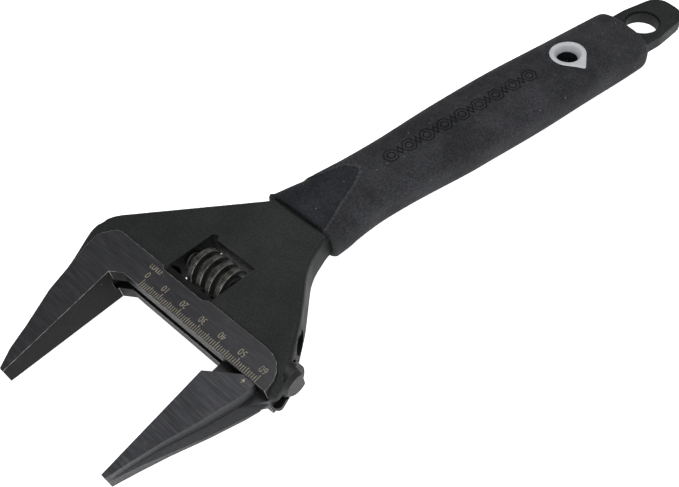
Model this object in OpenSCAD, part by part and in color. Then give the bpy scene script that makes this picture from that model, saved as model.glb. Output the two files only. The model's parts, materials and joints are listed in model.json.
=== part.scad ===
// Wide-opening adjustable wrench, 12 inch class: forged body with the fixed jaw, sliding jaw
// with a round rack bar, adjusting worm on its pin, friction spring, soft grip and hanging eyelet.
// Frame: origin at the middle of the fixed jaw's gripping face, +X the way the jaw opens,
// +Y towards the handle, +Z out of the face that carries the scale.

/* [Overall] */
// Distance from the slide face to the jaw tips
jaw_reach = 52; // [44:1:58]
// Gap between the jaws as the wrench is stored
opening = 56.6; // [20:0.2:59]
// Thickness over the ground lands of the head
head_t = 16.8; // [16:0.1:18]
// Thickness of the jaws at their tips
tip_t = 7.2; // [5:0.1:9]
// Width of the jaws at their tips
tip_w = 2; // [1.6:0.1:3]

/* [Forging] */
// Thickness of the forged surfaces beside the lands
forged_t = 12.4; // [11.8:0.1:12.8]
// Radius of the forged edges
forged_r = 2.2; // [1:0.1:2.6]
// Thickness of the shank under the grip
shank_t = 10; // [8:0.5:11]
// Width of the shank under the grip
shank_w = 20; // [16:0.5:22]
// Angle between the handle and the jaws
handle_angle = 14.2; // [13:0.1:15]

/* [Hanging eye] */
// Radius of the hanging hole
eye_r = 6.6; // [5:0.1:6.8]
// Radius of the step at each mouth of the hanging hole
eye_step_r = 7.4; // [7:0.1:7.8]
// Distance from the middle of the hole to the end of the eye
eye_end = 17.9; // [16:0.1:19]
// Thickness of the hanging eye
eye_t = 6.4; // [5:0.1:7]

/* [Sliding jaw] */
// Radius of the rack bar
bar_r = 6; // [5.8:0.05:6.1]
// Radial clearance of the rack bar in its bore
bar_gap = 0.08; // [0.02:0.01:0.1]
// Thickness of the web between the jaw and its rack bar
web_t = 5; // [4:0.1:5.4]
// Clearance on each side of the web in its slot
web_gap = 0.15; // [0.1:0.05:0.3]
// Length of the rack bar
bar_len = 53.2; // [52:0.2:54]

/* [Worm] */
// Outer radius of the worm
worm_r = 8.5; // [8.3:0.05:8.6]
// Radius of the worm's core between its threads
worm_core_r = 5.7; // [5.4:0.1:5.7]
// Length of the worm
worm_len = 17.6; // [16.8:0.2:18]
// Advance of the worm's thread in one turn
pitch = 4.8; // [4.7:0.05:4.9]
// Width of a thread at its crest
crest_w = 2.3; // [2:0.05:2.4]
// Width of a thread at its foot
foot_w = 2.7; // [2.4:0.05:2.8]
// Radius of the worm's pin
pin_r = 2.5; // [2:0.1:2.6]

/* [Grip] */
// Width of the grip at its widest part
grip_w = 33.4; // [30:0.2:35]
// Thickness of the grip at its middle
grip_t = 21; // [19:0.2:23]
// Radius of the hole through the eyelet
eyelet_r = 4.2; // [3.5:0.1:4.6]

/* [Hidden] */
$fn = 64;
over = 1;

slide_y = jaw_reach / 2;
land_z = head_t / 2;
forged_z = forged_t / 2;
tip_z = tip_t / 2;
taper_y = -3;
taper_angle = atan((land_z - tip_z) / (jaw_reach + taper_y));

bar_y = 10.5;
bar_end_x = opening + 25;
bar_start_x = bar_end_x - bar_len;
bore_r = bar_r + bar_gap;
slot_z = web_t / 2 + web_gap;

worm_y = 22.4;
worm_x = 20.1;
window_bottom = 13.4;
land_dip = 10.4;
window_top = 32.1;
rack_depth = 3;
groove_gap = 0.5;
bar_chamfer = 1.6;
last_groove_x = bar_end_x - 1.2;
groove_count = floor(bar_len / pitch) + 1;
lead_angle = atan(pitch / (2 * PI * (worm_r + worm_core_r) / 2));

pin_x = 8;
pin_head_x = 65.6;
pin_head_r = 3.9;
pin_head_t = 2.6;
spring_x = 14.4;
spring_wire_r = 0.4;
spring_coil_r = 3.2;
spring_len = 8.4;
spring_turns = 4;
spring_pocket_r = 4;
spring_pocket_x = spring_x + spring_len + 0.3;

eye_x = 78.9;
eye_y = 227.6;
eye_half_w = 11.2;
eye_step = 1.2;
grip_front = -173.9;
grip_back = -11;
eyelet_s = -43;
eyelet_flange_r = 7.4;
eyelet_point = 10.6;
eyelet_tube_r = 5.4;
eyelet_flange_t = 2.4;
fit_gap = 0.05;

// Points of a closed outline whose corners [x, y, radius] are rounded
function corner_arc(a, b, c, r, steps) =
    let (
        u = (a - b) / norm(a - b),
        v = (c - b) / norm(c - b),
        half = acos(max(-1, min(1, u * v))) / 2,
        run = r / tan(half),
        p = b + u * run,
        q = b + v * run,
        m = (u + v) / norm(u + v),
        o = b + m * (r / sin(half)),
        start = atan2(p[1] - o[1], p[0] - o[0]),
        finish = atan2(q[1] - o[1], q[0] - o[0]),
        turn = (finish - start + 540) % 360 - 180
    )
    [for (i = [0:steps]) o + r * [cos(start + turn * i / steps), sin(start + turn * i / steps)]];
function xy(p) = [p[0], p[1]];
function rounded(corners, steps = 6) =
    let (n = len(corners))
    [for (i = [0:n - 1])
        let (b = corners[i])
        each (b[2] == 0
            ? [xy(b)]
            : corner_arc(xy(corners[(i + n - 1) % n]), xy(b), xy(corners[(i + 1) % n]), b[2], steps))];

// Solid through a list of rings that all have the same number of points
module loft(rings) {
    n = len(rings[0]);
    k = len(rings);
    polyhedron(
        points = [for (ring = rings) each ring],
        faces = concat(
            [[for (j = [0:n - 1]) j]],
            [[for (j = [n - 1:-1:0]) (k - 1) * n + j]],
            [for (i = [0:k - 2], j = [0:n - 1]) [i * n + j, (i + 1) * n + j, (i + 1) * n + (j + 1) % n]],
            [for (i = [0:k - 2], j = [0:n - 1]) [i * n + j, (i + 1) * n + (j + 1) % n, i * n + (j + 1) % n]]
        )
    );
}

// Plate with edges rounded to radius r on both faces
module rounded_plate(points, half, r)
    minkowski() {
        translate([0, 0, r - half]) linear_extrude(2 * (half - r)) offset(delta = -r) polygon(points);
        sphere(r, $fn = 16);
    }

module on_slide() translate([0, slide_y, 0]) children();
module on_handle() on_slide() translate([eye_x, eye_y, 0]) rotate(-handle_angle) children();
function from_handle(c, s) = [
    eye_x + c * cos(handle_angle) + s * sin(handle_angle),
    eye_y - c * sin(handle_angle) + s * cos(handle_angle)
];
function handle_corner(c, s, r) = [from_handle(c, s)[0], from_handle(c, s)[1], r];
module along_x(x, y, r, length, r2 = undef)
    translate([x, y, 0]) rotate([0, 90, 0]) cylinder(r1 = r, r2 = r2 == undef ? r : r2, h = length);

// Wedges that taper both jaws towards their tips
module jaw_taper() {
    for (side = [0, 1])
        mirror([0, 0, side])
            translate([0, taper_y, land_z])
                rotate([taper_angle, 0, 0])
                    translate([-40, -80, 0])
                        cube([140, 80, 20]);
}

// ---------------------------------------------------------------- body
function forging_outline() = rounded([
    [82.4, 0.2, 0],
    [80.2, 8.5, 12],
    [68, 27.5, 50],
    [54.3, 45, 25],
    handle_corner(15, -172, 20),
    handle_corner(shank_w / 2, -150, 8),
    handle_corner(shank_w / 2, -140, 0),
    handle_corner(-shank_w / 2, -140, 0),
    handle_corner(-shank_w / 2, -155, 8),
    handle_corner(-14, -178, 12),
    [-26.5, 11.4, 13],
    [-18.4, -7, 20],
    [-12.4, -23, 0],
    [-5, -21, 0],
    [-3, 0.2, 0]
]);
land_outline = rounded([
    [4.9, 0, 0],
    [78.6, 0, 0],
    [78.6, 11.6, 10],
    [38.5, 11.6, 1.5],
    [37, land_dip, 1.5],
    [15.5, land_dip, 1.5],
    [14, 11.6, 1.5],
    [-12.5, 11.6, 5],
    [-17.4, 5, 6],
    [-14.2, -13, 12],
    [-12.8, -21.5, 6],
    [-7.9, -36, 12],
    [-5.4, -45, 8],
    [-tip_w, -jaw_reach, 1],
    [0, -jaw_reach, 0],
    [0, -2.9, 0]
], 5);
window_outline = [[13.9, window_bottom], [38.1, window_bottom], [40.4, window_top], [16.4, window_top]];

module shank()
    on_handle()
        rounded_plate(rounded([
            [-shank_w / 2, -145, 0],
            [shank_w / 2, -145, 0],
            [shank_w / 2, -14, 4],
            [-shank_w / 2, -14, 4]
        ]), shank_t / 2, 2);

module eye_plate()
    on_handle()
        rounded_plate(rounded([
            [-eye_half_w, -18, 0],
            [eye_half_w, -18, 0],
            [eye_half_w, 0, 14],
            [8.4, eye_end, 7.5],
            [-8.4, eye_end, 7.5],
            [-eye_half_w, 0, 14]
        ]), eye_t / 2, 1);

module eye_hole()
    on_handle() {
        translate([0, 0, -eye_t]) cylinder(r = eye_r, h = 2 * eye_t);
        for (side = [0, 1])
            mirror([0, 0, side])
                translate([0, 0, eye_t / 2 - eye_step])
                    cylinder(r = eye_step_r, h = 2 * eye_step);
    }

module body()
    color([0.18, 0.18, 0.19])
        difference() {
            union() {
                on_slide() rounded_plate(forging_outline(), forged_z, forged_r);
                on_slide() translate([0, 0, -land_z]) linear_extrude(head_t) polygon(land_outline);
                shank();
                eye_plate();
            }
            on_slide() {
                jaw_taper();
                along_x(-40, bar_y, bore_r, 140);
                translate([-2, -4, -slot_z]) cube([100, bar_y + 4, 2 * slot_z]);
                translate([0, 0, -land_z - over])
                    linear_extrude(head_t + 2 * over)
                        polygon(window_outline);
                translate([18, window_top, -land_z]) cylinder(r = 1.7, h = head_t);
                along_x(spring_x, worm_y, spring_pocket_r + 0.5, 6);
                along_x(pin_x - 1, worm_y, pin_r, 80);
                along_x(pin_head_x, worm_y, pin_head_r + 0.1, 20);
            }
            eye_hole();
            on_handle() translate([0, eyelet_s, -land_z]) cylinder(r = eyelet_tube_r + fit_gap, h = head_t);
        }

// ---------------------------------------------------------------- sliding jaw
shoulder_y = -0.3;
ledge_z = 5.9;
function jaw_outline() = [
    [opening, -jaw_reach],
    [opening + tip_w, -jaw_reach],
    [opening + 6.8, -40],
    [opening + 16.6, -18],
    [opening + 20.6, -8],
    [opening + 22.7, shoulder_y],
    [opening + 12.2, shoulder_y],
    [opening, -8]
];
function jaw_land_outline() = [
    [opening, -jaw_reach],
    [opening + tip_w, -jaw_reach],
    [opening + 4.6, -43],
    [opening + 7.8, -33],
    [opening + 12.7, -20],
    [opening + 16.6, -8],
    [opening + 18, -2.4],
    [opening + 17.6, shoulder_y],
    [opening + 12.2, shoulder_y],
    [opening, -8]
];

function web_outline() = [
    [opening, -9],
    [opening + 16, -9],
    [opening + 22.7, shoulder_y],
    [opening + 22.7, bar_y],
    [opening, bar_y]
];

module jaw_draft() {
    foot = [opening + 23.2, 0];
    run = [tip_w + 1.4 - 23.2, -jaw_reach];
    for (side = [0, 1])
        mirror([0, 0, side])
            translate([foot[0], foot[1], 0])
                rotate(atan2(run[1], run[0]))
                    rotate([-62, 0, 0])
                        translate([-20, 0, -40])
                            cube([120, 40, 80]);
}

module moving_jaw()
    color([0.23, 0.23, 0.24])
        on_slide()
            difference() {
                union() {
                    difference() {
                        union() {
                            difference() {
                                translate([0, 0, -ledge_z])
                                    linear_extrude(2 * ledge_z)
                                        polygon(jaw_outline());
                                jaw_draft();
                            }
                            translate([0, 0, -land_z]) linear_extrude(head_t) polygon(jaw_land_outline());
                        }
                        jaw_taper();
                    }
                    translate([0, 0, -web_t / 2]) linear_extrude(web_t) polygon(web_outline());
                    along_x(bar_start_x, bar_y, bar_r, bar_len - bar_chamfer);
                    along_x(bar_end_x - bar_chamfer, bar_y, bar_r, bar_chamfer, bar_r - bar_chamfer);
                }
                for (i = [0:groove_count - 1])
                    translate([last_groove_x - i * pitch, bar_y + bar_r, 0])
                        rotate([0, -lead_angle, 0])
                            translate([0, 0, -10])
                                linear_extrude(20)
                                    polygon([
                                        [-(foot_w + groove_gap) / 2 - 0.2, over],
                                        [-(crest_w + groove_gap) / 2, -rack_depth],
                                        [(crest_w + groove_gap) / 2, -rack_depth],
                                        [(foot_w + groove_gap) / 2 + 0.2, over]
                                    ]);
            }

// ---------------------------------------------------------------- worm
thread_steps = 28;
thread_turns = worm_len / pitch + 1;
thread_x0 = last_groove_x - pitch / 2;
first_turn = -ceil((thread_x0 - worm_x) / pitch) - 1;

// Centre of the thread at a given turn, counted from the side that faces the rack
function thread_x(turn) = thread_x0 + pitch / 2 + turn * pitch;
function thread_ring(turn) =
    let (
        a = 180 + 360 * turn,
        x = thread_x(turn),
        sunk_r = worm_core_r - 0.3
    )
    [for (p = [[-foot_w / 2, sunk_r], [foot_w / 2, sunk_r], [crest_w / 2, worm_r], [-crest_w / 2, worm_r]])
        [x + p[0], p[1] * cos(a), p[1] * sin(a)]];

module thread()
    loft([for (i = [0:ceil((thread_turns + 1) * thread_steps)])
        thread_ring(first_turn + i / thread_steps)]);

module worm()
    color([0.15, 0.15, 0.155])
        on_slide()
            translate([0, worm_y, 0])
                difference() {
                    intersection() {
                        union() {
                            along_x(worm_x, 0, worm_core_r, worm_len);
                            thread();
                        }
                        along_x(worm_x, 0, worm_r + over, worm_len);
                    }
                    along_x(0, 0, pin_r + 0.06, 60);
                    along_x(0, 0, spring_pocket_r, spring_pocket_x);
                }

// ---------------------------------------------------------------- worm pin and spring
module worm_pin()
    color([0.2, 0.2, 0.21])
        on_slide()
            difference() {
                union() {
                    along_x(pin_x, worm_y, pin_r - fit_gap / 2, pin_head_x - pin_x + over);
                    along_x(pin_head_x + 0.05, worm_y, pin_head_r, pin_head_t);
                }
                translate([pin_head_x + pin_head_t - 1, worm_y - 0.6, -5]) cube([3, 1.2, 10]);
            }

function spring_ring(turn) =
    let (
        a = 360 * turn,
        x = spring_x + spring_wire_r + 0.05 + turn / spring_turns * (spring_len - 2 * spring_wire_r - 0.1)
    )
    [for (j = [0:7])
        let (b = -45 * j, r = spring_coil_r + spring_wire_r * cos(b))
        [x + spring_wire_r * sin(b), r * cos(a), r * sin(a)]];

module worm_spring()
    color([0.55, 0.56, 0.58])
        on_slide()
            translate([0, worm_y, 0])
                loft([for (i = [0:20 * spring_turns]) spring_ring(i / 20)]);

// ---------------------------------------------------------------- grip
// Shape of the grip along the handle, as [distance, sideways offset, half width, half thickness]
grip_stations = [
    [grip_front, 0, 17.2, 8.9],
    [grip_front + 1.2, 0, 17.9, 9.5],
    [-166, 0.2, 16.9, 9.7],
    [-160, 0.2, 15.8, 9.8],
    [-150, 0, 14.8, 9.9],
    [-144, -0.1, 14.5, 9.9],
    [-132, -0.1, 14.5, 10.1],
    [-122, -0.1, 15, 10.3],
    [-112, -0.1, 15.7, 10.4],
    [-103, -0.1, 16.2, grip_t / 2],
    [-94, -0.2, grip_w / 2 - 0.3, grip_t / 2],
    [-78, -0.2, grip_w / 2, grip_t / 2],
    [-66, -0.1, grip_w / 2 - 0.1, grip_t / 2],
    [-45, 0.1, 15.8, 10.4],
    [-25, 0.3, 15.4, 9.9],
    [-16, 0.3, 15.2, 9.5],
    [-13, 0.3, 15.1, 9.2],
    [-11.8, 0.3, 14.7, 8.7],
    [grip_back, 0.3, 13.9, 7.9]
];
// The front edge of the grip runs square to the jaws, so it is skewed across the handle
grip_skew = 0.23;
skew_end = -150;
function skew(s) = grip_skew * max(0, min(1, (skew_end - s) / 20));
grip_sides = 32;
grip_power = 2.9;
function lobe(c) = sign(c) * pow(abs(c), 2 / grip_power);
function grip_ring(station) =
    [for (j = [0:grip_sides - 1])
        let (a = -360 * j / grip_sides)
        let (c = station[1] + station[2] * lobe(cos(a)))
        [c, station[0] + skew(station[0]) * c, station[3] * lobe(sin(a))]];

module teardrop(r, point)
    polygon(concat(
        [for (a = [70:10:290]) [r * cos(a), r * sin(a)]],
        [[point - 0.8, -1.2], [point, 0], [point - 0.8, 1.2]]
    ));

module grip()
    color([0.16, 0.16, 0.18])
        difference() {
            on_handle() loft([for (station = grip_stations) grip_ring(station)]);
            on_slide()
                translate([0, 0, -forged_z - fit_gap])
                    linear_extrude(2 * (forged_z + fit_gap))
                        offset(delta = fit_gap) polygon(forging_outline());
            on_handle() {
                translate([-shank_w / 2 - fit_gap, -145, -shank_t / 2 - fit_gap])
                    cube([shank_w + 2 * fit_gap, 131 + fit_gap, shank_t + 2 * fit_gap]);
                translate([-eye_half_w - fit_gap, -18 - fit_gap, -eye_t / 2 - fit_gap])
                    cube([2 * (eye_half_w + fit_gap), 20, eye_t + 2 * fit_gap]);
                translate([0, eyelet_s, -20]) cylinder(r = eyelet_tube_r + fit_gap, h = 40);
                for (side = [0, 1])
                    mirror([0, 0, side])
                        translate([0, eyelet_s, grip_t / 2 - eyelet_flange_t])
                            linear_extrude(5)
                                teardrop(eyelet_flange_r + fit_gap, eyelet_point + 2 * fit_gap);
            }
        }

// ---------------------------------------------------------------- eyelet
module eyelet()
    color([0.62, 0.63, 0.65])
        on_handle()
            translate([0, eyelet_s, 0])
                difference() {
                    union() {
                        translate([0, 0, 0.1 - grip_t / 2]) cylinder(r = eyelet_tube_r, h = grip_t - 0.2);
                        for (side = [0, 1])
                            mirror([0, 0, side])
                                translate([0, 0, grip_t / 2 - eyelet_flange_t + fit_gap])
                                    linear_extrude(eyelet_flange_t - fit_gap)
                                        teardrop(eyelet_flange_r, eyelet_point);
                    }
                    translate([0, 0, -20]) cylinder(r = eyelet_r, h = 40);
                    for (side = [0, 1])
                        mirror([0, 0, side])
                            translate([0, 0, grip_t / 2 - 1.6])
                                cylinder(r1 = eyelet_r, r2 = eyelet_r + 1.6, h = 1.61);
                }

body();
moving_jaw();
worm();
worm_pin();
worm_spring();
grip();
eyelet();
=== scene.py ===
import json
import math

import bmesh
import bpy
from mathutils import Matrix, Vector


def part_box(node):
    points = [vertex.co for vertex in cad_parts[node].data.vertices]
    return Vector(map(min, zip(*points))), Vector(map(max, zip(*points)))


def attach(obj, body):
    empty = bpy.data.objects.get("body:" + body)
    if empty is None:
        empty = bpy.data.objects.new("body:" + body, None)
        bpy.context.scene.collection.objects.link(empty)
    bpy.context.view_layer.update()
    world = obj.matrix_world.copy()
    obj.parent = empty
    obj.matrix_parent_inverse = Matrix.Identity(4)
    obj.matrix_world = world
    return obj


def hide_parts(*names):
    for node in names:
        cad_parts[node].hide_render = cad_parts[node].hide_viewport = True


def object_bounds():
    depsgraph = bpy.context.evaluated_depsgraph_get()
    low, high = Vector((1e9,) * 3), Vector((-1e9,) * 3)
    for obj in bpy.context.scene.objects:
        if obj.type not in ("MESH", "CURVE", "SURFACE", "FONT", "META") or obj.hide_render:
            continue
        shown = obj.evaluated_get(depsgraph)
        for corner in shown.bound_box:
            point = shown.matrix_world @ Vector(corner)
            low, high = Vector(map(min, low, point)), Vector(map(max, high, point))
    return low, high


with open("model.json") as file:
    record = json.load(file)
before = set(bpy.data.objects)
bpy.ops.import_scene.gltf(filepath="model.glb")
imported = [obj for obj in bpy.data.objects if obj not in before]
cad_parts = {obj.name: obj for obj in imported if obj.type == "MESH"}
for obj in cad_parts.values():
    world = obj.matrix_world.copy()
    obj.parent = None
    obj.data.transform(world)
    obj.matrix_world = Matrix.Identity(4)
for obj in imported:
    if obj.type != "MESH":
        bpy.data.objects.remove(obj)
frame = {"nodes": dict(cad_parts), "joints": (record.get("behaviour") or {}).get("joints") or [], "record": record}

MM = 0.001
cad_lo, cad_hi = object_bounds()

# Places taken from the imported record, in millimetres
mounts = {m["name"]: m for m in frame["record"]["mounts"]}
joints = {j["name"]: j for j in frame["joints"]}


# ------------------------------------------------------------------ materials
class Shader:
    """A Principled material whose nodes are added one line at a time."""

    def __init__(self, name, rough, metallic=0.0, specular=0.5):
        self.material = bpy.data.materials.new(name)
        self.material.use_nodes = True
        self.tree = self.material.node_tree
        self.main = self.tree.nodes["Principled BSDF"]
        self.main.inputs["Roughness"].default_value = rough
        self.main.inputs["Metallic"].default_value = metallic
        self.main.inputs["Specular IOR Level"].default_value = specular
        self.place = self.node("ShaderNodeTexCoord").outputs["Object"]

    def node(self, kind, **settings):
        made = self.tree.nodes.new(kind)
        for key, value in settings.items():
            setattr(made, key, value)
        return made

    def link(self, a, b):
        self.tree.links.new(a, b)

    def stretched(self, scale, turn=0.0):
        mapping = self.node("ShaderNodeMapping")
        mapping.inputs["Rotation"].default_value = (0, 0, math.radians(turn))
        mapping.inputs["Scale"].default_value = scale
        self.link(self.place, mapping.inputs["Vector"])
        return mapping.outputs["Vector"]

    def noise(self, size_mm, detail=3.0, rough=0.55, vector=None):
        made = self.node("ShaderNodeTexNoise")
        made.inputs["Scale"].default_value = 1 / (size_mm * MM)
        made.inputs["Detail"].default_value = detail
        made.inputs["Roughness"].default_value = rough
        self.link(vector or self.place, made.inputs["Vector"])
        return made.outputs["Fac"]

    def ramp(self, factor, stops):
        made = self.node("ShaderNodeValToRGB")
        ramp = made.color_ramp
        while len(ramp.elements) < len(stops):
            ramp.elements.new(0.5)
        for element, (at, colour) in zip(ramp.elements, stops):
            element.position = at
            element.color = (*colour, 1) if len(colour) == 3 else colour
        self.link(factor, made.inputs["Fac"])
        return made.outputs["Color"]

    def grey(self, factor, low, high, a=0.3, b=0.7):
        return self.ramp(factor, [(a, (low,) * 3), (b, (high,) * 3)])

    def mix(self, factor, a, b, blend="MIX"):
        made = self.node("ShaderNodeMix", data_type="RGBA", blend_type=blend)
        for socket, value in ((made.inputs[0], factor), (made.inputs[6], a), (made.inputs[7], b)):
            if isinstance(value, (int, float)):
                socket.default_value = value
            elif isinstance(value, tuple):
                socket.default_value = (*value, 1)
            else:
                self.link(value, socket)
        return made.outputs[2]

    def specks(self, size_mm, radius, fill):
        """White dots about size_mm apart; fill is the share of cells that hold one."""
        cells = self.node("ShaderNodeTexVoronoi")
        cells.inputs["Scale"].default_value = 1 / (size_mm * MM)
        cells.inputs["Randomness"].default_value = 1.0
        self.link(self.place, cells.inputs["Vector"])
        dot = self.grey(cells.outputs["Distance"], 1, 0, radius * 0.6, radius)
        chosen = self.node("ShaderNodeSeparateColor")
        self.link(cells.outputs["Color"], chosen.inputs["Color"])
        keep = self.grey(chosen.outputs["Red"], 0, 1, 1 - fill, 1 - fill + 0.02)
        return self.mix(1.0, dot, keep, "MULTIPLY")

    def colour(self, value):
        self.link(value, self.main.inputs["Base Color"])

    def roughness(self, value):
        self.link(value, self.main.inputs["Roughness"])

    def bump(self, height, strength, depth_mm):
        made = self.node("ShaderNodeBump")
        made.inputs["Strength"].default_value = strength
        made.inputs["Distance"].default_value = depth_mm * MM
        self.link(height, made.inputs["Height"])
        if self.main.inputs["Normal"].is_linked:
            self.link(self.main.inputs["Normal"].links[0].from_socket, made.inputs["Normal"])
        self.link(made.outputs["Normal"], self.main.inputs["Normal"])


def scaled(colour, gain):
    return tuple(gain * v for v in colour)


def forged_steel():
    """Blackened forging: fine blasted grain, faint green-black patches and a few dust specks."""
    s = Shader("forged_black", 0.6, specular=0.17)
    shades = [(0.36, (0.0158, 0.0172, 0.0170)), (0.64, (0.0252, 0.0265, 0.0262))]
    patches = s.ramp(s.noise(24, 5, 0.6), shades)
    grain = s.grey(s.noise(0.7, 2), 0.8, 1.22, 0.4, 0.6)
    base = s.mix(1.0, patches, grain, "MULTIPLY")
    s.colour(s.mix(s.specks(6.5, 0.06, 0.35), base, (0.12, 0.12, 0.115)))
    s.roughness(s.grey(s.noise(9, 3), 0.52, 0.66))
    s.bump(s.noise(0.7, 3), 0.4, 0.06)
    s.bump(s.noise(6, 2), 0.25, 0.1)
    return s.material


def ground_steel(name, turn, gain, gloss=0.4):
    """Blackened, surface-ground steel: straight grinding lines and light scratches."""
    s = Shader(name, 0.44, metallic=0.1, specular=gloss)
    fine = s.noise(1, 3, 0.6, s.stretched((0.12, 2.6, 2.6), turn))
    broad = s.noise(1, 3, 0.6, s.stretched((0.03, 0.5, 0.5), turn + 5))
    shades = [(0.36, (0.78, 0.79, 0.81)), (0.5, (0.98, 0.99, 1.02)), (0.66, (1.45, 1.45, 1.48))]
    tone = s.mix(1.0, s.ramp(fine, shades), s.grey(broad, 0.86, 1.16, 0.38, 0.62), "MULTIPLY")
    # gain scales the whole tone; gains other than 1 are painted light on the sliding jaw's land and painted shade
    # on the gripping faces
    tone = s.mix(1.0, tone, scaled((0.0275, 0.0278, 0.0305), gain), "MULTIPLY")
    rubbed = s.grey(s.noise(6, 6, 0.75), 0, 0.55, 0.56, 0.74)
    tone = s.mix(rubbed, tone, scaled((0.062, 0.061, 0.060), gain))
    s.colour(s.mix(s.specks(4.5, 0.06, 0.3), tone, (0.17, 0.16, 0.14)))
    s.roughness(s.grey(fine, 0.36, 0.54))
    s.bump(fine, 0.35, 0.03)
    return s.material


def worn_edge(name, low, high):
    """Broken corner, lighter than the black finish: painted edge highlight, with patches where the finish has
    rubbed through to bare steel.
    """
    s = Shader(name, 0.38, metallic=0.2, specular=0.5)
    s.colour(s.ramp(s.noise(2.2, 5, 0.7), [(0.38, low), (0.62, high)]))
    s.roughness(s.grey(s.noise(0.6, 2), 0.28, 0.48))
    return s.material


def inner_steel():
    """Oiled black walls of the bores, the slot and the window, darkened further as painted shade of these hollows.
    """
    s = Shader("inner_shade", 0.6, specular=0.14)
    s.colour(s.ramp(s.noise(5, 4), [(0.3, (0.0045, 0.0048, 0.005)), (0.7, (0.011, 0.0115, 0.0115))]))
    s.roughness(s.grey(s.noise(1.4, 3), 0.5, 0.7))
    s.bump(s.noise(0.4, 2), 0.25, 0.03)
    return s.material


def turned_steel(name, base, rough):
    """Turned and blackened steel with fine rings around its axis."""
    s = Shader(name, rough, metallic=0.35, specular=0.5)
    rings = s.noise(1, 3, 0.6, s.stretched((7, 0.3, 0.3)))
    s.colour(s.mix(1.0, base, s.grey(rings, 0.7, 1.4), "MULTIPLY"))
    s.roughness(s.grey(s.noise(1.1, 2), rough - 0.07, rough + 0.1))
    s.bump(rings, 0.2, 0.02)
    return s.material


def grip_rubber(name, tone):
    """Moulded black rubber: pebbled skin, dusty patches and pale specks of lint."""
    s = Shader(name, 0.8, specular=0.1)
    patches = s.ramp(s.noise(17, 6, 0.68), [(0.38, scaled(tone, 0.76)), (0.62, scaled(tone, 1.27))])
    pebble = s.noise(0.75, 3, 0.6)
    base = s.mix(1.0, patches, s.grey(pebble, 0.72, 1.3, 0.4, 0.6), "MULTIPLY")
    dusty = s.grey(s.noise(2.6, 6, 0.8), 0, 0.4, 0.54, 0.74)
    base = s.mix(dusty, base, (0.058, 0.058, 0.056))
    s.colour(s.mix(s.specks(3.2, 0.085, 0.45), base, (0.20, 0.20, 0.19)))
    s.roughness(s.grey(pebble, 0.66, 0.84))
    s.bump(pebble, 0.6, 0.12)
    s.bump(s.noise(2.4, 3), 0.35, 0.15)
    return s.material


def eyelet_plastic():
    """Pale grey moulded plastic, slightly scuffed."""
    s = Shader("eyelet_grey", 0.4, specular=0.5)
    s.colour(s.ramp(s.noise(3.5, 5, 0.65), [(0.3, (0.52, 0.535, 0.56)), (0.7, (0.60, 0.615, 0.64))]))
    s.roughness(s.grey(s.noise(1.2, 3), 0.34, 0.5))
    s.bump(s.noise(0.7, 2), 0.12, 0.03)
    return s.material


def scale_paint():
    """Beige laser marking, thinner in places."""
    s = Shader("scale_beige", 0.55, specular=0.3)
    s.colour(s.ramp(s.noise(0.9, 4, 0.7), [(0.32, (0.17, 0.15, 0.115)), (0.62, (0.43, 0.385, 0.30))]))
    return s.material


FORGED = forged_steel()
LAND = ground_steel("ground_land", -12, 1.0)
# The sliding jaw's land is a brighter copy of the ground steel: painted light
JAW_LAND_LIT = ground_steel("ground_jaw_land_lit", -20, 1.75)
# The gripping faces take a darker copy of the ground steel: painted shade
FACE_SHADED = ground_steel("ground_face_shaded", 0, 0.3, 0.1)
# Lighter bevel materials: painted edge highlights, partly rubbed-through steel
WORN_HIGHLIGHT = worn_edge("worn_edge", (0.11, 0.11, 0.11), (0.58, 0.56, 0.50))
DARK_WORN_HIGHLIGHT = worn_edge("faint_edge_highlight", (0.035, 0.036, 0.038), (0.16, 0.155, 0.14))
# Near-black painted shade for the inner walls and the window foot
INNER_SHADE = inner_steel()
WORM = turned_steel("worm_black", (0.033, 0.033, 0.034), 0.36)
# Thread crest and its shoulders lighter in patches: painted glints, partly rubbed steel
CREST_HIGHLIGHT = worn_edge("worm_crest_highlight", (0.022, 0.022, 0.022), (0.095, 0.092, 0.083))
WORM_EDGE_HIGHLIGHT = worn_edge("worm_edge_highlight", (0.04, 0.04, 0.04), (0.30, 0.29, 0.27))
PIN = turned_steel("pin_black", (0.030, 0.031, 0.034), 0.42)
RACK_BAR = turned_steel("rack_bar_black", (0.017, 0.0175, 0.019), 0.5)
SPRING = turned_steel("spring_wire", (0.05, 0.05, 0.052), 0.4)
RUBBER = grip_rubber("grip_black", (0.034, 0.0345, 0.0385))
RUBBER_PAD = grip_rubber("grip_thumb_pad", (0.0235, 0.0245, 0.0295))
# A lighter rubber along the thumb pad's rim: painted highlight
RUBBER_RIM_HIGHLIGHT = grip_rubber("grip_pad_rim_highlight", (0.050, 0.0505, 0.053))
# Near-black rubber: painted shade, for the pattern's beads and the eyelet's tube
RUBBER_SHADE = grip_rubber("grip_pattern_shade", (0.0085, 0.009, 0.011))
PLASTIC = eyelet_plastic()
PAINT = scale_paint()


# ------------------------------------------------------------------ mesh helpers
def add_object(name, mesh, body, materials):
    obj = bpy.data.objects.new(name, mesh)
    bpy.context.scene.collection.objects.link(obj)
    for material in materials:
        mesh.materials.append(material)
    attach(obj, body)
    return obj


def smooth(mesh, angle):
    mesh.polygons.foreach_set("use_smooth", [True] * len(mesh.polygons))
    mesh.set_sharp_from_angle(angle=math.radians(angle))


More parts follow.
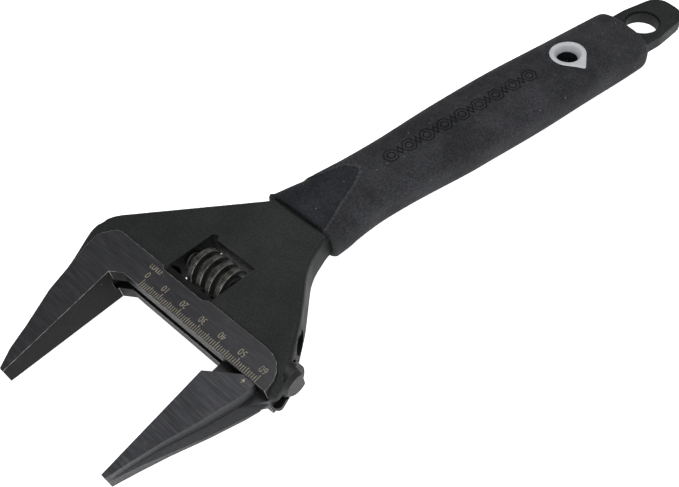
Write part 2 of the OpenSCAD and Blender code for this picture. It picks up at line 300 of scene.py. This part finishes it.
def refined(node, name, body, materials, choose, bevel_mm=0.0, edge_material=0,
            wanted=None, sharp=32):
    """A piece made from a CAD node: welded, flat faces merged, shaded smoothly, edges broken."""
    bm = bmesh.new()
    bm.from_mesh(frame["nodes"][node].data)
    bmesh.ops.remove_doubles(bm, verts=bm.verts, dist=0.003 * MM)
    bmesh.ops.dissolve_limit(bm, angle_limit=math.radians(0.4), verts=bm.verts, edges=bm.edges)
    bm.normal_update()
    for face in bm.faces:
        face.material_index = choose(face.normal, face.calc_center_median() / MM)
    if bevel_mm:
        weight = bm.edges.layers.float.new("bevel_weight_edge")
        for edge in bm.edges:
            if len(edge.link_faces) == 2 and edge.calc_face_angle() > math.radians(sharp):
                if wanted is None or wanted(edge):
                    edge[weight] = 1.0
    mesh = bpy.data.meshes.new(name)
    bm.to_mesh(mesh)
    bm.free()
    for extra in ("custom_normal", "sharp_face"):
        if extra in mesh.attributes:
            mesh.attributes.remove(mesh.attributes[extra])
    smooth(mesh, sharp)
    obj = add_object(name, mesh, body, materials)
    if bevel_mm:
        broken = obj.modifiers.new("Broken edges", "BEVEL")
        broken.limit_method = "WEIGHT"
        broken.width = bevel_mm * MM
        broken.segments = 2
        # The bevel faces take edge_material, a painted edge highlight
        broken.material = edge_material
        broken.use_clamp_overlap = True
    even = obj.modifiers.new("Flat faces stay flat", "WEIGHTED_NORMAL")
    even.keep_sharp = True
    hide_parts(node)
    return obj


def grid_mesh(name, rings, close_rings=True, cap_start=False, cap_end=False, closed_loop=False):
    """A mesh through rings of points (millimetres) that all have the same count."""
    n = len(rings[0])
    points = [Vector(p) * MM for ring in rings for p in ring]
    faces = []
    last = len(rings) if closed_loop else len(rings) - 1
    for i in range(last):
        a, b = i * n, ((i + 1) % len(rings)) * n
        for j in range(n if close_rings else n - 1):
            k = (j + 1) % n
            faces.append((a + j, a + k, b + k, b + j))
    if cap_start:
        faces.append(tuple(range(n - 1, -1, -1)))
    if cap_end:
        faces.append(tuple(range((len(rings) - 1) * n, len(rings) * n)))
    mesh = bpy.data.meshes.new(name)
    mesh.from_pydata(points, [], faces)
    bm = bmesh.new()
    bm.from_mesh(mesh)
    bmesh.ops.recalc_face_normals(bm, faces=bm.faces)
    bm.to_mesh(mesh)
    bm.free()
    return mesh


def blend(a, b, t):
    return a + (b - a) * t


def ease(x, a, b):
    t = max(0.0, min(1.0, (x - a) / (b - a)))
    return t * t * (3 - 2 * t)


def spline(table, x):
    """Smooth value at x through rows of [x, value, ...]."""
    if x <= table[0][0]:
        return list(table[0][1:])
    for i in range(len(table) - 1):
        if x <= table[i + 1][0]:
            break
    else:
        return list(table[-1][1:])
    x0, x1 = table[i][0], table[i + 1][0]
    t = (x - x0) / (x1 - x0)
    before, after = table[max(i - 1, 0)], table[min(i + 2, len(table) - 1)]
    out = []
    for k in range(1, len(table[0])):
        y0, y1 = table[i][k], table[i + 1][k]
        m0 = (y1 - before[k]) / (x1 - before[0]) * (x1 - x0)
        m1 = (after[k] - y0) / (after[0] - x0) * (x1 - x0)
        out.append((2 * t**3 - 3 * t**2 + 1) * y0 + (t**3 - 2 * t**2 + t) * m0
                   + (3 * t**2 - 2 * t**3) * y1 + (t**3 - t**2) * m1)
    return out


# ------------------------------------------------------------------ places shared with the CAD
body_lo, body_hi = (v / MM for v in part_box("body"))
worm_lo, worm_hi = (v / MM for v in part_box("worm"))
EYE = Vector(mounts["hanging_eye"]["pos_m"]) / MM
TETHER = Vector(mounts["tether_hole"]["pos_m"]) / MM
TETHER_R = mounts["tether_hole"]["dims"]["r_mm"]
OPENING = mounts["sliding_jaw"]["pos_m"][0] / MM
WORM_Y = joints["worm_spin"]["pos_m"][1] / MM
LAND_Z = body_hi.z
TIP_Y = body_lo.y
SLIDE_Y = -TIP_Y
BAR_Y = SLIDE_Y + 10.5
BAR_END_X = OPENING + 25
FORGED_Z, SLOT_Z, TIP_Z = 6.2, 2.8, 3.6
TAPER_Y = SLIDE_Y - 3
LAND_TOP, HEAD_TOP = SLIDE_Y + 13, SLIDE_Y + 40
WINDOW_LEFT, WINDOW_RIGHT = 13, 40
WINDOW_LOW, WINDOW_HIGH = SLIDE_Y + 12, SLIDE_Y + 34
BAR_BORE_R, PIN_BORE_R = 6.3, 4.9

handle_turn = math.atan2(EYE.x - TETHER.x, EYE.y - TETHER.y)
ACROSS = Vector((math.cos(handle_turn), -math.sin(handle_turn), 0))
ALONG = Vector((math.sin(handle_turn), math.cos(handle_turn), 0))
TETHER_S = -(EYE - TETHER).length


def on_handle(c, s, z):
    """A point c across the handle and s along it, measured from the hanging eye."""
    p = EYE + ACROSS * c + ALONG * s
    return (p.x, p.y, z)


def land_height(y):
    return LAND_Z - max(0.0, TAPER_Y - y) * (LAND_Z - TIP_Z) / (TAPER_Y - TIP_Y)


def off_axis(c, y):
    return math.hypot(c.y - y, c.z)


# ------------------------------------------------------------------ forged body and sliding jaw
# Places in a forging's list of materials; TURNED is the inner walls, which take painted shade, or the rack bar
ROUGH, GROUND, GRIPPING, TURNED, EDGE = range(5)
ALONG_AXIS, LEVEL = 0.98, 0.9999
BODY_EDGE, JAW_EDGE, PIN_EDGE = 0.26, 0.2, 0.25


def body_part(n, c):
    """Material place of a face of the body, from its normal and its middle."""
    flat = abs(n.z) > ALONG_AXIS
    beside_taper = c.y < TAPER_Y and abs(n.z) > LEVEL
    if flat and abs(abs(c.z) - land_height(c.y)) < 0.35 and c.y < LAND_TOP and not beside_taper:
        return GROUND
    if n.x > ALONG_AXIS and abs(c.x) < 0.1 and c.y < SLIDE_Y:
        return GRIPPING
    if n.y < -ALONG_AXIS and abs(c.y - SLIDE_Y) < 0.3:
        return GRIPPING
    if c.y < HEAD_TOP:
        beside_window = WINDOW_LEFT < c.x < WINDOW_RIGHT and WINDOW_LOW < c.y < WINDOW_HIGH
        in_bore = off_axis(c, BAR_Y) < BAR_BORE_R or off_axis(c, WORM_Y) < PIN_BORE_R
        # Bores, slot flats and window walls take the painted-shade material
        if in_bore or (flat and abs(c.z) < SLOT_Z) or (beside_window and abs(n.z) < 0.5):
            return TURNED
    return ROUGH


def jaw_part(n, c):
    """Material place of a face of the sliding jaw, from its normal and its middle."""
    if off_axis(c, BAR_Y) < BAR_BORE_R - 0.1 and c.y > SLIDE_Y + 3:
        return TURNED
    if abs(n.z) > ALONG_AXIS and abs(abs(c.z) - land_height(c.y)) < 0.3:
        return GROUND
    if n.x < -ALONG_AXIS and abs(c.x - OPENING) < 0.1:
        return GRIPPING
    return ROUGH


def one_part(n, c):
    return ROUGH


def ground_edge(edge):
    return any(f.material_index in (GROUND, GRIPPING) for f in edge.link_faces)


refined("body", "wrench_body_forging", "wrench_body",
        [FORGED, LAND, FACE_SHADED, INNER_SHADE, WORN_HIGHLIGHT], body_part, BODY_EDGE, EDGE, ground_edge)
refined("moving_jaw", "sliding_jaw_forging", "sliding_jaw",
        [PIN, JAW_LAND_LIT, FACE_SHADED, RACK_BAR, DARK_WORN_HIGHLIGHT], jaw_part, JAW_EDGE, EDGE)
refined("worm_pin", "worm_pin_turned", "wrench_body", [PIN], one_part, PIN_EDGE)
refined("worm_spring", "worm_spring_wire", "wrench_body", [SPRING], one_part, sharp=60)


# ------------------------------------------------------------------ worm
WORM_R, CORE_R, PITCH = 8.5, 5.7, 4.8
RACK_X = BAR_END_X - 1.2
KNURLS, KNURL_DEPTH = 62, 0.28
POCKET_R, POCKET_DEPTH, PIN_HOLE_R = 4.0, 3, 2.57


def worm_thread():
    """Helical thread whose crest carries a straight knurl, phased to the rack."""
    profile = [(-1.33, CORE_R - 0.2), (-1.2, WORM_R - 0.45), (-0.98, WORM_R - 0.08), (-0.5, WORM_R),
               (0.5, WORM_R), (0.98, WORM_R - 0.08), (1.2, WORM_R - 0.45), (1.33, CORE_R - 0.2)]
    rings = []
    first = math.floor((worm_lo.x - RACK_X) / PITCH) - 1
    last = math.ceil((worm_hi.x - RACK_X) / PITCH) + 1
    for i in range((last - first) * KNURLS * 2 + 1):
        turn = first + i / (KNURLS * 2)
        x0 = RACK_X + turn * PITCH
        if x0 < worm_lo.x - 1.4 or x0 > worm_hi.x + 1.4:
            continue
        angle = math.pi + 2 * math.pi * turn
        cut = KNURL_DEPTH if i % 2 else 0.0
        ring = []
        for dx, r in profile:
            x = min(max(x0 + dx, worm_lo.x), worm_hi.x)
            r -= cut if r > WORM_R - 0.3 else 0
            ring.append((x, WORM_Y + r * math.cos(angle), r * math.sin(angle)))
        rings.append(ring)
    return grid_mesh("worm_thread", rings, cap_start=True, cap_end=True)


def turned(name, profile, y, steps=72):
    """Closed profile of (x, radius) turned around the axis that runs along X at y."""
    rings = []
    for i in range(steps):
        a = 2 * math.pi * i / steps
        rings.append([(x, y + r * math.cos(a), r * math.sin(a)) for x, r in profile])
    return grid_mesh(name, rings, closed_loop=True)


thread = add_object("worm_thread", worm_thread(), "adjusting_worm", [WORM, CREST_HIGHLIGHT, WORM_EDGE_HIGHLIGHT])
# Crest and shoulder faces take the lighter painted-highlight materials
for face in thread.data.polygons:
    radius = off_axis(Vector(face.center) / MM, WORM_Y)
    if radius > WORM_R - 0.24:
        face.material_index = 1
    elif radius > WORM_R - 0.5:
        face.material_index = 2
smooth(thread.data, 40)
CORE = [(worm_lo.x, POCKET_R), (worm_lo.x, CORE_R - 0.3), (worm_lo.x + 0.3, CORE_R),
        (worm_hi.x - 0.3, CORE_R), (worm_hi.x, CORE_R - 0.3), (worm_hi.x, 2.8),
        (worm_hi.x - 0.25, PIN_HOLE_R), (worm_lo.x + POCKET_DEPTH, PIN_HOLE_R),
        (worm_lo.x + POCKET_DEPTH, POCKET_R)]
core = add_object("worm_core", turned("worm_core", CORE, WORM_Y), "adjusting_worm", [WORM])
smooth(core.data, 30)
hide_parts("worm")


# ------------------------------------------------------------------ window foot painted shade, scale and index mark
def slabs(name, outlines, low, high):
    """Thin raised marks: each outline is a list of (x, y) corners."""
    points, faces = [], []
    for outline in outlines:
        n, k = len(outline), len(points)
        points += [Vector((x, y, z)) * MM for z in (low, high) for x, y in outline]
        faces.append(tuple(k + n + i for i in range(n)))
        faces += [(k + i, k + (i + 1) % n, k + n + (i + 1) % n, k + n + i) for i in range(n)]
    mesh = bpy.data.meshes.new(name)
    mesh.from_pydata(points, [], faces)
    return mesh


def bar(x0, y0, x1, y1):
    return [(x0, y0), (x1, y0), (x1, y1), (x0, y1)]


# Dark sheet between the window and the dip in the land, on both faces: painted shade standing in for a recessed
# strip
FOOT_SHADE = [(14.4, 11.9), (15.6, 10.7), (36.9, 10.7), (38.1, 11.9), (38.0, 13.35), (14.0, 13.35)]
for side, name in ((1, "window_foot_shade_front"), (-1, "window_foot_shade_back")):
    outline = [(x, SLIDE_Y + y) for x, y in FOOT_SHADE][::side]
    mesh = slabs(name, [outline], side * (FORGED_Z - 0.1), side * (FORGED_Z + 0.035))
    add_object(name, mesh, "wrench_body", [INNER_SHADE])

SCALE_X, SCALE_MM = 13.7, 60
TICK_HALF, TICK_START = 0.125, SLIDE_Y + 0.3
MARK_LOW, MARK_HIGH = LAND_Z - 0.03, LAND_Z + 0.015
ticks = []
for i in range(SCALE_MM + 1):
    tick_end = SLIDE_Y + (3.2 if i % 10 == 0 else 2.8 if i % 5 == 0 else 2.3)
    ticks.append(bar(SCALE_X + i - TICK_HALF, TICK_START, SCALE_X + i + TICK_HALF, tick_end))
add_object("scale_ticks", slabs("scale_ticks", ticks, MARK_LOW, MARK_HIGH),
           "wrench_body", [PAINT])

index_x, index_y = OPENING + 13.9, SLIDE_Y - 1.9
add_object("index_mark", slabs("index_mark", [
    [(index_x - 0.75, index_y - 0.2), (index_x + 0.75, index_y - 0.2), (index_x, index_y + 1.1)],
    bar(index_x - 0.14, index_y - 1.0, index_x + 0.14, index_y - 0.2),
], MARK_LOW, MARK_HIGH), "sliding_jaw", [PAINT])


def marking(name, text, x, y, size, squeeze):
    """Generic scale lettering, read from the handle side."""
    curve = bpy.data.curves.new(name, "FONT")
    curve.body = text
    curve.size = size * MM
    curve.align_x = "CENTER"
    curve.align_y = "CENTER"
    curve.extrude = 0.02 * MM
    curve.offset = -0.045 * MM
    curve.resolution_u = 4
    maker = bpy.data.objects.new(name + "_maker", curve)
    bpy.context.scene.collection.objects.link(maker)
    graph = bpy.context.evaluated_depsgraph_get()
    mesh = bpy.data.meshes.new_from_object(maker.evaluated_get(graph))
    bpy.data.objects.remove(maker)
    place = Matrix.Translation(Vector((x, y, LAND_Z)) * MM) @ Matrix.Rotation(math.pi, 4, "Z")
    mesh.transform(place @ Matrix.Diagonal((squeeze, 1, 0.75, 1)))
    return add_object(name, mesh, "wrench_body", [PAINT])


for number in range(0, SCALE_MM + 1, 10):
    marking(f"scale_number_{number}", str(number), SCALE_X + number - 0.7, SLIDE_Y + 5.2, 3.7, 0.86)
marking("scale_unit", "mm", 13.4, SLIDE_Y + 8.3, 4.3, 0.95)


# ------------------------------------------------------------------ grip
GRIP_FRONT, GRIP_LIP, GRIP_BACK = -173.9, -172.6, -11.0
GRIP = [
    [GRIP_LIP, 0.0, 17.9, 9.5],
    [-166, 0.2, 16.9, 9.7],
    [-160, 0.2, 15.8, 9.8],
    [-150, 0.0, 14.8, 9.9],
    [-144, -0.1, 14.5, 9.9],
    [-132, -0.1, 14.5, 10.1],
    [-122, -0.1, 15.0, 10.15],
    [-112, -0.1, 15.7, 10.2],
    [-103, -0.1, 16.2, 10.25],
    [-94, -0.2, 16.4, 10.25],
    [-78, -0.2, 16.7, 10.25],
    [-66, -0.1, 16.6, 10.25],
    [-45, 0.1, 15.8, 10.2],
    [-25, 0.3, 15.4, 9.9],
    [-16, 0.3, 15.2, 9.5],
    [-13, 0.3, 15.1, 9.2],
    [-11.8, 0.3, 14.7, 8.7],
    [GRIP_BACK, 0.3, 13.9, 7.9],
]
POWER = 2.9
PAD_END, PAD_DEPTH, PAD_RIM = -138, 0.9, 0.3
SKEW = 0.23
SIDES, ROWS = 176, 330
PAD = [(-158, -11.5), (-148, -8.5), (-144, -4), (-145, -1.5), (-151, 3), (-157.5, 6), (-166, 10.5),
       (-170, 12.5), (-185, 12.5), (-185, -24), (-170, -22)]


def skew(s):
    """Lean of the cross sections, which grows towards the grip's front edge."""
    return SKEW * max(0.0, min(1.0, (-150 - s) / 20))


def lobe(v):
    return math.copysign(abs(v) ** (2 / POWER), v)


def skin_height(c, s):
    """Height of the grip's skin above its middle at c across, s along."""
    offset, half_w, half_t = spline(GRIP, s - skew(s) * c)
    share = min(1.0, abs((c - offset) / half_w))
    return half_t * (1 - share**POWER) ** (1 / POWER)


def depth_in(outline, p, q):
    """Signed distance of (p, q) into a closed outline, positive inside."""
    best, inside = 1e9, False
    for (ax, ay), (bx, by) in zip(outline, outline[1:] + outline[:1]):
        ux, uy = bx - ax, by - ay
        t = max(0.0, min(1.0, ((p - ax) * ux + (q - ay) * uy) / (ux * ux + uy * uy)))
        best = min(best, math.hypot(p - ax - t * ux, q - ay - t * uy))
        if (ay > q) != (by > q) and p < ax + (q - ay) * ux / uy:
            inside = not inside
    return best if inside else -best


def grip_ring(s, inset=0.0, at=None):
    offset, half_w, half_t = spline(GRIP, s if at is None else at)
    ring = []
    for j in range(SIDES):
        a = 2 * math.pi * j / SIDES
        c = offset + (half_w - inset) * lobe(math.cos(a))
        z = (half_t - inset) * lobe(math.sin(a))
        along = s + skew(s) * c
        if at is None and s < PAD_END:
            inside = depth_in(PAD, along, c)
            sunk = PAD_DEPTH * ease(inside, -0.2, 0.9)
            rim = PAD_RIM * math.exp(-(((inside + 0.7) / 0.5) ** 2))
            z -= math.copysign((sunk - rim) * ease(abs(z), 1.5, 5), z)
        ring.append(on_handle(c, along, z))
    return ring


def grip_mesh():
    """Sleeve with a rolled front lip, open around the shank and around the eyelet."""
    rings = []
    roll = 1.3
    for s, inset in ((-160, 4.2), (-169, 3.9), (GRIP_FRONT + 0.25, 2.6)):
        rings.append(grip_ring(s, inset, GRIP_LIP))
    for k in range(6, 0, -1):
        a = math.radians(15 * k)
        rings.append(grip_ring(GRIP_FRONT + roll * (1 - math.sin(a)), roll * (1 - math.cos(a)), GRIP_LIP))
    for i in range(ROWS + 1):
        rings.append(grip_ring(blend(GRIP_FRONT + roll, GRIP_BACK, i / ROWS)))
    for inset, back in ((0.5, 0.0), (1.2, 0.05), (3.0, 0.3)):
        rings.append(grip_ring(GRIP_BACK - back, inset, GRIP_BACK))
    mesh = grid_mesh("grip", rings, cap_end=True)
    bm = bmesh.new()
    bm.from_mesh(mesh)
    middle = Vector(on_handle(0, TETHER_S, 0)) * MM
    for v in bm.verts:
        away = (v.co - middle).to_2d() / MM
        c, s = away.dot(ACROSS.to_2d()), away.dot(ALONG.to_2d())
        if math.hypot(c, s) < eyelet_edge(math.atan2(s, c)) - 0.9:
            v.co.z = math.copysign(UNDER_FLANGE_Z * MM, v.co.z)
    gone = [f for f in bm.faces if (f.calc_center_median() - middle).to_2d().length < UNDER_FLANGE_R * MM]
    bmesh.ops.delete(bm, geom=gone, context="FACES")
    bm.to_mesh(mesh)
    bm.free()
    return mesh


# ------------------------------------------------------------------ eyelet
EYELET_R, EYELET_POINT, EYELET_TOP = 7.4, 10.6, 10.49
TUBE_Z = 7.2
UNDER_FLANGE_R, UNDER_FLANGE_Z = 5, 7.6


def eyelet_edge(a):
    """Radius of the drop-shaped flange in direction a; its point is at a = 0."""
    lean = math.acos(EYELET_R / EYELET_POINT)
    a = abs(math.atan2(math.sin(a), math.cos(a)))
    if a >= lean:
        return EYELET_R
    sharp = EYELET_R / math.cos(a - lean)
    return min(sharp, EYELET_POINT - 0.6 + 0.3 * math.cos(3 * a))


def eyelet_mesh():
    """Flat drop-shaped flange on both faces, a short funnel inside it and the tube between."""
    rims = [(0.0, -1.4), (0.0, 0.0), (0.15, 0.1), (0.45, 0.14)]
    throat = [(5.75, 0.12, None), (5.45, -0.02, None), (4.95, 0, 9.2), (4.5, 0, 8.2), (TETHER_R, 0, 7.3)]
    rings = []
    for side in (1, -1):
        part = [eyelet_ring(lambda a: eyelet_edge(a) - inset, rise, None, side) for inset, rise in rims]
        part += [eyelet_ring(lambda a: r, rise, z, side) for r, rise, z in throat]
        rings += part if side == 1 else part[::-1]
    return grid_mesh("eyelet", rings)


def eyelet_ring(radius, rise, z, side):
    """Ring that lies rise above the grip's skin, or at height z inside it."""
    ring = []
    for j in range(96):
        a = 2 * math.pi * j / 96
        c, s = radius(a) * math.cos(a), radius(a) * math.sin(a)
        skin = skin_height(c, TETHER_S + s)
        top = min(skin + rise, EYELET_TOP) if z is None else min(z, skin - 0.25)
        ring.append(on_handle(c, TETHER_S + s, side * top))
    return ring


grip = add_object("grip_rubber_sleeve", grip_mesh(), "wrench_body",
                  [RUBBER, RUBBER_PAD, RUBBER_RIM_HIGHLIGHT])
for face in grip.data.polygons:
    away = Vector(face.center) / MM - EYE
    c, s = away.dot(ACROSS), away.dot(ALONG)
    inside = depth_in(PAD, s, c) if s < PAD_END and abs(away.z) > 4 else -9
    # Faces near the pad's edge take the rim's painted highlight
    face.material_index = 1 if inside > 0.25 else 2 if inside > -0.75 else 0
smooth(grip.data, 50)
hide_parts("grip")
eyelet = add_object("grip_eyelet", eyelet_mesh(), "wrench_body", [PLASTIC, RUBBER_SHADE])
# The inside of the tube takes the near-black rubber: painted shade
for face in eyelet.data.polygons:
    if abs(face.center.z) < TUBE_Z * MM:
        face.material_index = 1
smooth(eyelet.data, 45)
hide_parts("eyelet")


# ------------------------------------------------------------------ moulded pattern on the grip
def moulded_line(corners, radius=0.3, step=0.5):
    """Rings of a thin raised bead that follows a closed outline of (c, s) over the skin."""
    path = []
    for (c0, s0), (c1, s1) in zip(corners, corners[1:] + corners[:1]):
        n = max(1, round(math.hypot(c1 - c0, s1 - s0) / step))
        path += [(blend(c0, c1, i / n), blend(s0, s1, i / n)) for i in range(n)]
    rings = []
    for i, (c, s) in enumerate(path):
        (pc, ps), (nc, ns) = path[i - 1], path[(i + 1) % len(path)]
        run = math.hypot(nc - pc, ns - ps)
        side_c, side_s = -(ns - ps) / run, (nc - pc) / run
        ring = []
        for k in range(6):
            a = math.pi * k / 3
            out = radius * math.cos(a)
            cc, ss = c + side_c * out, s + side_s * out
            ring.append(on_handle(cc, ss, skin_height(cc, ss) - 0.06 + 0.8 * radius * math.sin(a)))
        rings.append(ring)
    return rings


def hexagon(s, half_w, shoulder, point):
    """Hexagon centred at s, with its two points along the handle."""
    return [(half_w, s - shoulder), (half_w, s + shoulder), (0, s + point),
            (-half_w, s + shoulder), (-half_w, s - shoulder), (0, s - point)]


def pattern_mesh(side):
    """A row of elongated hexagons and small lozenges."""
    parts = bmesh.new()
    cells, first, last = 9, -131.5, -63.5
    for k in range(cells):
        s = blend(first, last, k / (cells - 1))
        shapes = [hexagon(s, 2.9, 1.5, 3.2), hexagon(s, 1.5, 0.8, 1.7)]
        if k < cells - 1:
            m = s + (last - first) / 2 / (cells - 1)
            shapes.append([(2.2, m), (0, m + 0.85), (-2.2, m), (0, m - 0.85)])
        for shape in shapes:
            piece = grid_mesh("bead", moulded_line(shape), closed_loop=True)
            parts.from_mesh(piece)
            bpy.data.meshes.remove(piece)
    mesh = bpy.data.meshes.new("pattern")
    parts.to_mesh(mesh)
    parts.free()
    if side < 0:
        mesh.transform(Matrix.Scale(-1, 4, (0, 0, 1)))
        mesh.flip_normals()
    return mesh


# The beads take the near-black rubber: painted shade of grooves
for side, name in ((1, "grip_pattern_front"), (-1, "grip_pattern_back")):
    smooth(add_object(name, pattern_mesh(side), "wrench_body", [RUBBER_SHADE]).data, 60)


# ------------------------------------------------------------------ floor, light and camera
def studio_floor():
    s = Shader("studio_white", 0.9, specular=0.1)
    s.colour(s.ramp(s.noise(400, 2), [(0.3, (0.93, 0.93, 0.93)), (0.7, (0.95, 0.95, 0.95))]))
    s.main.inputs["Emission Color"].default_value = (1, 1, 1, 1)
    s.main.inputs["Emission Strength"].default_value = 0.95
    mesh = bpy.data.meshes.new("floor")
    size, z = 6, cad_lo.z - 0.1 * MM
    mesh.from_pydata([(-size, -size, z), (size, -size, z), (size, size, z), (-size, size, z)],
                     [], [(0, 1, 2, 3)])
    mesh.materials.append(s.material)
    obj = bpy.data.objects.new("floor", mesh)
    bpy.context.scene.collection.objects.link(obj)


def softbox(name, place, aim, size, watts):
    light = bpy.data.lights.new(name, "AREA")
    light.shape = "RECTANGLE"
    light.size, light.size_y = size
    light.energy = watts
    obj = bpy.data.objects.new(name, light)
    obj.location = place
    obj.rotation_euler = (Vector(aim) - Vector(place)).to_track_quat("-Z", "Y").to_euler()
    bpy.context.scene.collection.objects.link(obj)


studio_floor()
middle = (0.05, 0.12, 0)
softbox("overhead", (0.04, 0.30, 0.70), middle, (0.5, 0.35), 3.3)
softbox("near_right", (0.38, -0.28, 0.42), (0.08, 0.0, 0), (0.3, 0.3), 1.3)
softbox("left_fill", (-0.75, -0.1, 0.40), middle, (0.4, 0.4), 0.4)

world = bpy.data.worlds.new("studio")
world.use_nodes = True
world.node_tree.nodes["Background"].inputs["Color"].default_value = (1, 1, 1, 1)
world.node_tree.nodes["Background"].inputs["Strength"].default_value = 0.10
bpy.context.scene.world = world
bpy.context.scene.view_settings.view_transform = "Standard"

CAMERA_AT = Vector((194.8, -26.7, 243.2)) * MM
CAMERA_AIM = Vector((53.3, 87.9, 0)) * MM
CAMERA_ROLL = math.radians(-10.57)
camera = bpy.data.objects.new("camera", bpy.data.cameras.new("camera"))
bpy.context.scene.collection.objects.link(camera)
camera.data.sensor_width = 36
camera.data.lens = 43.58
camera.data.clip_start, camera.data.clip_end = 0.01, 20
forward = (CAMERA_AIM - CAMERA_AT).normalized()
level = forward.cross(Vector((0, 0, 1))).normalized()
right = level * math.cos(CAMERA_ROLL) + level.cross(forward) * math.sin(CAMERA_ROLL)
up = right.cross(forward)
turn = Matrix((right, up, -forward)).transposed().to_4x4()
camera.matrix_world = Matrix.Translation(CAMERA_AT) @ turn
bpy.context.scene.camera = camera
